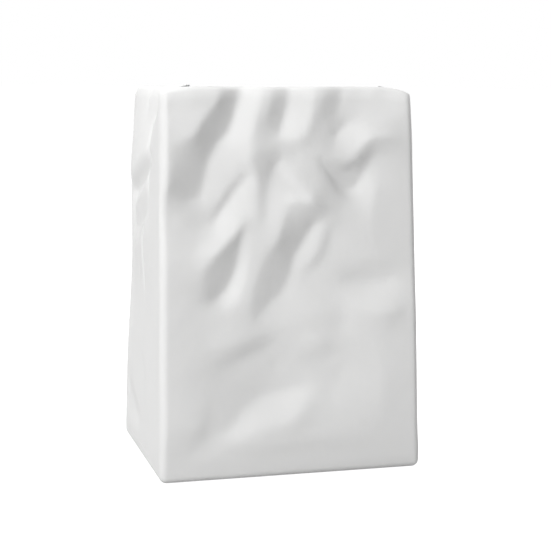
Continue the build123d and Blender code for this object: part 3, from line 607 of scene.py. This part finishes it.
def corner_sink(sizes, share):
    """How far the rim has sunk towards a corner; the share is 0 clear of the corner and 1 at it."""
    return sizes.corner_drop * (1 - np.sqrt(1 - CORNER_FULLNESS_SHARE * np.clip(share, 0, 1) ** 2))


def wall_strip(sizes, facing, sheet, corner_run, sink, waves):
    """Points of the front (facing -1) or back (facing 1) wall as columns and rows of a strip."""
    arc = np.radians(np.linspace(0, 90, QUARTER_STEPS + 1))
    run = np.linspace(-1, 1, sizes.wall_columns + 1)[1:-1]
    turn = np.concatenate([arc, np.full(run.shape, math.pi / 2), arc[::-1]])[:, None]
    place = np.concatenate([np.full(arc.shape, -1.0), run, np.full(arc.shape, 1.0)])[:, None]
    straight, through, lift = strip_rows(sizes)[:, None, :]
    inner_width = sizes.rim_width / 2 - sizes.wall
    from_end = (1 - np.abs(place)) * inner_width + sizes.wall * (1 - np.cos(turn))
    drop = sink + corner_sink(sizes, 1 - from_end / corner_run)
    rim = sizes.height - drop + through_rows(waves, place) * MM
    up = strip_heights(sizes, rim, straight, lift)
    across = place * (half_width(sizes, up) - sizes.wall) + np.sign(place) * sizes.wall * np.cos(turn)
    relief = wall_relief(sizes, sheet, across, up)
    outer = (sizes.wall + relief) * np.sin(turn)
    inner = relief * clear_of_sides(sizes, across, up)
    out = half_depth(sizes, up) - sizes.wall + outer + (inner - outer) * through
    out = out - lip_thinning(sizes, rim, up, through) * np.sin(turn)
    return bowed(sizes, np.stack([across, facing * out, up], axis=-1))


def fold_curve(share):
    """Share of a fold's depth along one flank, level at the seam and straight at the tip."""
    soft = FLANK_BEND_SHARE
    return (np.hypot(share, soft) - soft) / (math.hypot(1, soft) - soft)


def fold_place(line, flank):
    """Distances in and back along a fold's line.

    The flank runs from -1 at the front seam over 0 at the fold's tip to 1 at the back seam.
    """
    front_end, tip, back_end = line
    share = fold_curve(1 - np.abs(flank))
    front_in = front_end[0] + (tip[0] - front_end[0]) * share
    back_in = back_end[0] + (tip[0] - back_end[0]) * share
    front_back = tip[1] + (tip[1] - front_end[1]) * flank
    back_back = tip[1] + (back_end[1] - tip[1]) * flank
    return np.where(flank < 0, front_in, back_in), np.where(flank < 0, front_back, back_back)


def side_rim(sizes, flank):
    """Heights of a side's rim: highest at the fold's tip, sunk to the walls' rims at the seams."""
    line = fold_line(sizes, np.array([[sizes.height]]), 0, 0)
    rim_in, rim_back = fold_place(line, flank)
    tip, back_end = line[1:]
    corner = corner_sink(sizes, np.array(1.0))
    front_drop = (sizes.front_sink + corner) * (1 - eased(rim_in / tip[0]))
    back_share = 1 - eased((back_end[1] - rim_back) / sizes.side_corner_run)
    back_drop = sizes.back_sink * eased(2 * flank) + corner * back_share
    return sizes.height - np.where(flank < 0, front_drop, back_drop)


def side_strip(sizes, side, sheet):
    """Points of the left (side -1) or right (side 1) folded side as columns and rows of a strip."""
    flank = np.linspace(-1, 1, 2 * sizes.fold_columns + 1)[:, None]
    straight, through, lift = strip_rows(sizes)[:, None, :]
    rim = side_rim(sizes, flank)
    up = strip_heights(sizes, rim, straight, lift)
    outer_in, outer_back = fold_place(fold_line(sizes, up, 0, 0), flank)
    inner_in, inner_back = fold_place(fold_line(sizes, up, sizes.wall, 0), flank)
    inwards = outer_in + (inner_in - outer_in) * through - side_relief(sizes, sheet, outer_back, up)
    inwards = inwards + lip_thinning(sizes, rim, up, through) * (1 - np.abs(flank) ** THICK_END_POWER)
    back = outer_back + (inner_back - outer_back) * through
    across = side * (half_width(sizes, up) - inwards)
    return bowed(sizes, np.stack([across, sizes.wall - half_depth(sizes, up) + back, up], axis=-1))


def lining_rows(sizes):
    """Heights of the lining's rows and their insets from the walls.

    The rows run up behind the glaze, over its edge, down its face and round to the floor.
    """
    top, floor = sizes.height - sizes.glaze_drop, sizes.base_thickness + sizes.glaze
    gap, clear = sizes.glaze_gap, sizes.glaze_gap + sizes.glaze
    half, bend = sizes.glaze / 2, sizes.floor_round
    half_turns = np.radians(np.linspace(0, 180, GLAZE_EDGE_STEPS + 1)[1:-1])
    quarter_turns = np.radians(np.linspace(0, 90, QUARTER_STEPS + 1)[1:])
    rise = [(up, gap) for up in np.linspace(sizes.base_thickness, top, sizes.lining_rows)]
    edge = [(top + half * math.sin(turn), gap + half * (1 - math.cos(turn))) for turn in half_turns]
    fall = [(up, clear) for up in np.linspace(top, floor + bend, sizes.lining_rows)]
    round_off = [(floor + bend * (1 - math.sin(turn)), clear + bend * (1 - math.cos(turn)))
                 for turn in quarter_turns]
    return np.array(rise + edge + fall + round_off).T


def lining_strip(sizes, sheets):
    """Points of the glaze lining: columns once round the inside of the bag, and the lining's rows."""
    front_sheet, back_sheet, left_sheet, right_sheet = sheets
    up, inset = lining_rows(sizes)[:, None, :]
    line = fold_line(sizes, up, sizes.wall + inset, inset)
    inside = half_depth(sizes, up) - sizes.wall - inset
    run = np.linspace(-1, 1, sizes.lining_columns + 1)[:, None]
    flank = np.linspace(-1, 1, 2 * sizes.lining_fold_columns + 1)[:, None]
    front_across = run * (half_width(sizes, up) - line[0][0])
    back_across = run[::-1] * (half_width(sizes, up) - line[2][0])
    walls = []
    for facing, sheet, across in ((-1, front_sheet, front_across), (1, back_sheet, back_across)):
        rise = wall_relief(sizes, sheet, across, up) * clear_of_sides(sizes, across, up)
        walls.append(np.stack(np.broadcast_arrays(across, facing * (inside + rise), up), axis=-1))
    flanks = []
    for side, sheet, way in ((1, right_sheet, flank), (-1, left_sheet, flank[::-1])):
        inwards, behind = fold_place(line, way)
        across = side * (half_width(sizes, up) - inwards + side_relief(sizes, sheet, behind, up))
        deep = sizes.wall - half_depth(sizes, up) + behind
        flanks.append(np.stack(np.broadcast_arrays(across, deep, up), axis=-1))
    return bowed(sizes, np.concatenate([walls[0], flanks[0][1:], walls[1][1:], flanks[1][1:]]))


def lay_strip(mesh, points):
    """Lays a grid as a strip: its columns and rows go to the points."""
    columns, rows = points.shape[0] - 1, points.shape[1] - 1
    made = bmesh.ops.create_grid(mesh, x_segments=columns, y_segments=rows, size=1)
    strip = {}
    for vert in made["verts"]:
        column = round((vert.co.x + 1) / 2 * columns)
        row = round((vert.co.y + 1) / 2 * rows)
        vert.co = points[column, row]
        strip[column, row] = vert
    return strip


def mark_seams(sizes, strip, layer):
    """Notes the outward direction along a strip's seams, so that no seam shows in the shading."""
    last = max(column for column, row in strip)
    step = sizes.wall / 10
    for column in (0, last):
        for row in range(sizes.rows + 1):
            place = strip[column, row].co
            if place.z < sizes.height - SEAM_TOP_WALLS * sizes.wall:
                widening = half_width(sizes, place.z + step) - half_width(sizes, place.z - step)
                outward = Vector((math.copysign(1, place.x), 0, -widening / (2 * step)))
                strip[column, row][layer] = outward.normalized()


def seamed_strip(sizes, points):
    """A mesh laid as a strip, with the directions along its seams noted."""
    mesh = bmesh.new()
    layer = mesh.verts.layers.float_vector.new(SEAM_NOTE)
    mark_seams(sizes, lay_strip(mesh, points), layer)
    return mesh


def close_strip(mesh):
    """Closes a strip's open edges and turns its faces outwards."""
    bmesh.ops.holes_fill(mesh, edges=[edge for edge in mesh.edges if edge.is_boundary], sides=0)
    bmesh.ops.recalc_face_normals(mesh, faces=mesh.faces)


def shade_seams(data):
    """Shades the outer faces along the marked seams with the directions noted there."""
    notes = data.attributes[SEAM_NOTE].data
    normals = []
    for face in data.polygons:
        for loop in face.loop_indices:
            noted = Vector(notes[data.loops[loop].vertex_index].vector)
            normals.append(noted if noted.dot(face.normal) > 0.5 else Vector((0, 0, 0)))
    data.normals_split_custom_set(normals)
    data.attributes.remove(data.attributes[SEAM_NOTE])


def finish_piece(mesh, name, node, materials):
    """Makes a piece from a closed mesh, stands it for its CAD node and gives it its finish."""
    if not all(edge.is_manifold for edge in mesh.edges):
        raise RuntimeError(name + " is not closed")
    for face in mesh.faces:
        face.smooth = True
    for edge in mesh.edges:
        if edge.calc_face_angle(0) > SHARP_TURN:
            edge.smooth = False
    data = bpy.data.meshes.new(name)
    mesh.to_mesh(data)
    mesh.free()
    if SEAM_NOTE in data.attributes:
        shade_seams(data)
    piece = bpy.data.objects.new(name, data)
    bpy.context.scene.collection.objects.link(piece)
    for material in materials:
        data.materials.append(material)
    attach(piece, "root")
    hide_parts(node)


def node_of(tree, kind, **inputs):
    """Adds a node to a tree with some of its inputs set."""
    node = tree.nodes.new(kind)
    for name, value in inputs.items():
        node.inputs[name.replace("_", " ")].default_value = value
    return node


def tone_between(tree, dark, light):
    """A mix of two colours."""
    tone = tree.nodes.new("ShaderNodeMix")
    tone.data_type = "RGBA"
    tone.inputs["A"].default_value = (*dark, 1)
    tone.inputs["B"].default_value = (*light, 1)
    return tone


def join(tree, *links):
    """Joins nodes: each link is a node, its output, the next node and its input."""
    for source, output, target, entry in links:
        tree.links.new(source.outputs[output], target.inputs[entry])


def bisque(finish, name="matt_porcelain", shade=1.0, rough_low=0.68, rough_high=0.82):
    """Matt unglazed porcelain: near white, with a fine grain, faint swells and a faint cloudiness."""
    material = bpy.data.materials.get(name)
    if material:
        return material
    material = bpy.data.materials.new(name)
    material.use_nodes = True
    tree = material.node_tree
    shader = tree.nodes["Principled BSDF"]
    shader.inputs["Specular IOR Level"].default_value = 0.2
    light = [shade * part for part in finish.porcelain]
    tone = tone_between(tree, [0.975 * part for part in light], light)
    place = tree.nodes.new("ShaderNodeTexCoord")
    cloud = node_of(tree, "ShaderNodeTexNoise", Scale=45.0, Detail=3.0)
    grain = node_of(tree, "ShaderNodeTexNoise", Scale=1 / finish.grain, Detail=2.0)
    waves = node_of(tree, "ShaderNodeTexNoise", Scale=1 / finish.unevenness, Detail=2.0)
    rough = node_of(tree, "ShaderNodeMapRange", To_Min=rough_low, To_Max=rough_high)
    swell = node_of(tree, "ShaderNodeBump", Strength=0.6, Distance=0.0005)
    bump = node_of(tree, "ShaderNodeBump", Strength=0.25, Distance=0.00006)
    join(
        tree,
        (place, "Object", cloud, "Vector"),
        (place, "Object", grain, "Vector"),
        (place, "Object", waves, "Vector"),
        (cloud, "Fac", tone, "Factor"),
        (tone, "Result", shader, "Base Color"),
        (grain, "Fac", rough, "Value"),
        (rough, "Result", shader, "Roughness"),
        (waves, "Fac", swell, "Height"),
        (swell, "Normal", bump, "Normal"),
        (grain, "Fac", bump, "Height"),
        (bump, "Normal", shader, "Normal"),
    )
    return material


def glassy_glaze(finish):
    """Clear glaze over white porcelain: glossy, a little uneven, and cooler where it pools."""
    material = bpy.data.materials.new("clear_glaze")
    material.use_nodes = True
    tree = material.node_tree
    shader = tree.nodes["Principled BSDF"]
    shader.inputs["IOR"].default_value = 1.52
    cooler = [part * tint for part, tint in zip(finish.glaze, (0.96, 0.985, 1))]
    tone = tone_between(tree, cooler, finish.glaze)
    place = tree.nodes.new("ShaderNodeTexCoord")
    pool = node_of(tree, "ShaderNodeTexNoise", Scale=60.0, Detail=2.0)
    peel = node_of(tree, "ShaderNodeTexNoise", Scale=350.0, Detail=1.0)
    rough = node_of(tree, "ShaderNodeMapRange", To_Min=0.08, To_Max=0.16)
    bump = node_of(tree, "ShaderNodeBump", Strength=0.15, Distance=0.0002)
    join(
        tree,
        (place, "Object", pool, "Vector"),
        (place, "Object", peel, "Vector"),
        (pool, "Fac", tone, "Factor"),
        (tone, "Result", shader, "Base Color"),
        (pool, "Fac", rough, "Value"),
        (rough, "Result", shader, "Roughness"),
        (peel, "Fac", bump, "Height"),
        (bump, "Normal", shader, "Normal"),
    )
    return material


def seen_directly(tree):
    """A node that is 1 for camera, glossy and transmission rays, and 0 for the rays that light the vase."""
    path = tree.nodes.new("ShaderNodeLightPath")
    first, second = tree.nodes.new("ShaderNodeMath"), tree.nodes.new("ShaderNodeMath")
    first.operation = second.operation = "MAXIMUM"
    join(
        tree,
        (path, "Is Camera Ray", first, 0),
        (path, "Is Glossy Ray", first, 1),
        (first, 0, second, 0),
        (path, "Is Transmission Ray", second, 1),
    )
    return second


def pale_floor(finish):
    """White as the camera sees it, with the vase's shadow left in."""
    material = bpy.data.materials.new("pale_floor")
    material.use_nodes = True
    tree = material.node_tree
    tree.nodes.remove(tree.nodes["Principled BSDF"])
    plain = node_of(tree, "ShaderNodeBsdfDiffuse", Color=(*finish.floor, 1))
    bounce = node_of(tree, "ShaderNodeBsdfDiffuse", Color=(*finish.floor_bounce, 1))
    white = node_of(tree, "ShaderNodeEmission", Color=(1, 1, 1, 1), Strength=0.92)
    both = tree.nodes.new("ShaderNodeAddShader")
    mix = tree.nodes.new("ShaderNodeMixShader")
    join(
        tree,
        (plain, 0, both, 0),
        (white, 0, both, 1),
        (seen_directly(tree), 0, mix, 0),
        (bounce, 0, mix, 1),
        (both, 0, mix, 2),
        (mix, 0, tree.nodes["Material Output"], "Surface"),
    )
    return material


def white_surround(scene):
    """A world that is white to look at and gives an even, quiet fill light."""
    world = bpy.data.worlds.new("white_surround")
    scene.world = world
    world.use_nodes = True
    tree = world.node_tree
    backdrop = tree.nodes["Background"]
    backdrop.inputs["Color"].default_value = (1, 1, 1, 1)
    strength = node_of(tree, "ShaderNodeMapRange", To_Min=0.185, To_Max=1.0)
    join(
        tree,
        (seen_directly(tree), 0, strength, "Value"),
        (strength, "Result", backdrop, "Strength"),
    )


def soft_light(scene, name, place, width, power):
    """A square soft box that faces the middle of the vase."""
    lamp = bpy.data.lights.new(name, "AREA")
    lamp.size = width
    lamp.energy = power
    box = bpy.data.objects.new(name, lamp)
    scene.collection.objects.link(box)
    box.location = place
    box.rotation_euler = (LIT_POINT - Vector(place)).to_track_quat("-Z", "Y").to_euler()


def place_camera(scene):
    """A long lens, a little left of the front and a little above the rim."""
    lens = bpy.data.cameras.new("camera")
    lens.lens = CAMERA_LENS
    lens.sensor_width = CAMERA_SENSOR
    camera = bpy.data.objects.new("camera", lens)
    scene.collection.objects.link(camera)
    camera.matrix_world = (
        Matrix.Translation(CAMERA_PLACE)
        @ Matrix.Rotation(-CAMERA_TURN, 4, "Z")
        @ Matrix.Rotation(math.pi / 2 - CAMERA_TILT, 4, "X")
        @ Matrix.Rotation(CAMERA_ROLL, 4, "Z")
    )
    scene.camera = camera


def lay_floor(scene, finish):
    """A wide floor just below the vase."""
    mesh = bmesh.new()
    bmesh.ops.create_grid(mesh, x_segments=1, y_segments=1, size=FLOOR_REACH)
    bmesh.ops.translate(mesh, verts=mesh.verts, vec=(0, 0, -FLOOR_GAP))
    data = bpy.data.meshes.new("floor")
    mesh.to_mesh(data)
    mesh.free()
    data.materials.append(pale_floor(finish))
    floor = bpy.data.objects.new("floor", data)
    scene.collection.objects.link(floor)


def round_edges(mesh, edges, radius):
    """Rounds some edges of a mesh to a radius."""
    bmesh.ops.bevel(mesh, geom=edges, offset=radius, affect="EDGES", segments=QUARTER_STEPS, profile=0.5,
                    material=-1)


class BAGVASE_OT_walls(bpy.types.Operator):
    """Model the crumpled front and back walls"""

    bl_idname = "bagvase.walls"
    bl_label = "Front and Back Walls"

    def execute(self, context):
        sizes, finish = context.scene.bagvase_sizes, context.scene.bagvase_finish
        front_rim = (sizes.front_corner_run, sizes.front_sink, FRONT_RIM_WAVES)
        back_rim = (sizes.back_corner_run, sizes.back_sink, STRAIGHT_RIM)
        for node, facing, folds, rim in (
            ("front_wall", -1, FRONT_FOLD_SHARES, front_rim),
            ("back_wall", 1, BACK_FOLD_SHARES, back_rim),
        ):
            mesh = seamed_strip(sizes, wall_strip(sizes, facing, wall_sheet(sizes, folds), *rim))
            bmesh.ops.remove_doubles(mesh, verts=mesh.verts, dist=WELD)
            close_strip(mesh)
            finish_piece(mesh, "crumpled_" + node, node, [bisque(finish)])
        return {"FINISHED"}


class BAGVASE_OT_sides(bpy.types.Operator):
    """Model the folded left and right sides"""

    bl_idname = "bagvase.sides"
    bl_label = "Folded Sides"

    def execute(self, context):
        sizes, finish = context.scene.bagvase_sizes, context.scene.bagvase_finish
        for node, side, folds in (
            ("left_gusset", -1, LEFT_FOLD_SHARES),
            ("right_gusset", 1, RIGHT_FOLD_SHARES),
        ):
            mesh = seamed_strip(sizes, side_strip(sizes, side, side_sheet(sizes, folds)))
            low = [edge for edge in mesh.edges if edge.is_boundary
                   and max(vert.co.z for vert in edge.verts) < sizes.base_thickness + WELD]
            bmesh.ops.bridge_loops(mesh, edges=low)
            close_strip(mesh)
            finish_piece(mesh, "folded_" + node, node, [bisque(finish)])
        return {"FINISHED"}


class BAGVASE_OT_base(bpy.types.Operator):
    """Model the base slab with its rounded lower edge and foot ring"""

    bl_idname = "bagvase.base"
    bl_label = "Base"

    def execute(self, context):
        sizes, finish = context.scene.bagvase_sizes, context.scene.bagvase_finish
        slab = (sizes.base_width, sizes.base_depth, sizes.base_thickness)
        mesh = bmesh.new()
        bmesh.ops.create_cube(mesh, size=1)
        bmesh.ops.translate(mesh, verts=mesh.verts, vec=(0, 0, 0.5))
        bmesh.ops.scale(mesh, verts=mesh.verts, vec=slab)
        upright = [edge for edge in mesh.edges if abs(edge.verts[0].co.z - edge.verts[1].co.z) > WELD]
        round_edges(mesh, upright, sizes.wall)
        low = [edge for edge in mesh.edges if max(vert.co.z for vert in edge.verts) < WELD]
        round_edges(mesh, low, sizes.foot_round)
        foot = min(mesh.faces, key=lambda face: face.calc_center_median().z)
        ring = bmesh.ops.inset_individual(mesh, faces=[foot], thickness=sizes.foot_ring - sizes.foot_round)
        for face in ring["faces"]:
            face.material_index = 1
        bmesh.ops.inset_individual(mesh, faces=[foot], thickness=sizes.foot_recess)
        bmesh.ops.translate(mesh, verts=foot.verts, vec=(0, 0, sizes.foot_recess))
        bmesh.ops.recalc_face_normals(mesh, faces=mesh.faces)
        sanded = bisque(finish, "sanded_foot", shade=0.96, rough_low=0.75, rough_high=0.9)
        finish_piece(mesh, "base_slab", "base", [bisque(finish), sanded])
        return {"FINISHED"}


class BAGVASE_OT_glaze(bpy.types.Operator):
    """Model the glaze lining over the inside"""

    bl_idname = "bagvase.glaze"
    bl_label = "Inner Glaze"

    def execute(self, context):
        sizes, finish = context.scene.bagvase_sizes, context.scene.bagvase_finish
        walls = [wall_sheet(sizes, folds) for folds in (FRONT_FOLD_SHARES, BACK_FOLD_SHARES)]
        sides = [side_sheet(sizes, folds) for folds in (LEFT_FOLD_SHARES, RIGHT_FOLD_SHARES)]
        mesh = bmesh.new()
        lay_strip(mesh, lining_strip(sizes, walls + sides))
        bmesh.ops.remove_doubles(mesh, verts=mesh.verts, dist=WELD)
        close_strip(mesh)
        finish_piece(mesh, "glaze_lining", "inner_glaze", [glassy_glaze(finish)])
        return {"FINISHED"}


class BAGVASE_OT_stage(bpy.types.Operator):
    """Set the pale floor, the soft lights and the camera"""

    bl_idname = "bagvase.stage"
    bl_label = "Stage"

    def execute(self, context):
        scene = context.scene
        lay_floor(scene, scene.bagvase_finish)
        white_surround(scene)
        for name, place, width, power in SOFT_LIGHTS:
            soft_light(scene, name, place, width, power)
        place_camera(scene)
        scene.view_settings.view_transform = "Standard"
        return {"FINISHED"}


class BAGVASE_PT_pieces(bpy.types.Panel):
    """Lists the sizes, the finish and the pieces of the vase"""

    bl_idname = "BAGVASE_PT_pieces"
    bl_label = "Bag Vase"
    bl_space_type = "VIEW_3D"
    bl_region_type = "UI"
    bl_category = "Bag Vase"

    def draw(self, context):
        for group in (context.scene.bagvase_sizes, context.scene.bagvase_finish):
            box = self.layout.box()
            for name in group.__annotations__:
                box.prop(group, name)
        for operator in OPERATORS:
            self.layout.operator(operator.bl_idname)


OPERATORS = (BAGVASE_OT_walls, BAGVASE_OT_sides, BAGVASE_OT_base, BAGVASE_OT_glaze, BAGVASE_OT_stage)
CLASSES = (BagVaseSizes, BagVaseFinish, *OPERATORS, BAGVASE_PT_pieces)


def register():
    """Adds the vase's classes and hangs its values on the scene."""
    for made in CLASSES:
        bpy.utils.register_class(made)
    bpy.types.Scene.bagvase_sizes = PointerProperty(type=BagVaseSizes)
    bpy.types.Scene.bagvase_finish = PointerProperty(type=BagVaseFinish)


def unregister():
    """Takes the vase's values and classes away again."""
    del bpy.types.Scene.bagvase_finish
    del bpy.types.Scene.bagvase_sizes
    for made in reversed(CLASSES):
        bpy.utils.unregister_class(made)


def main():
    """Registers the pieces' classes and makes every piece."""
    register()
    bpy.ops.bagvase.walls()
    bpy.ops.bagvase.sides()
    bpy.ops.bagvase.base()
    bpy.ops.bagvase.glaze()
    bpy.ops.bagvase.stage()


if __name__ == "__main__":
    main()
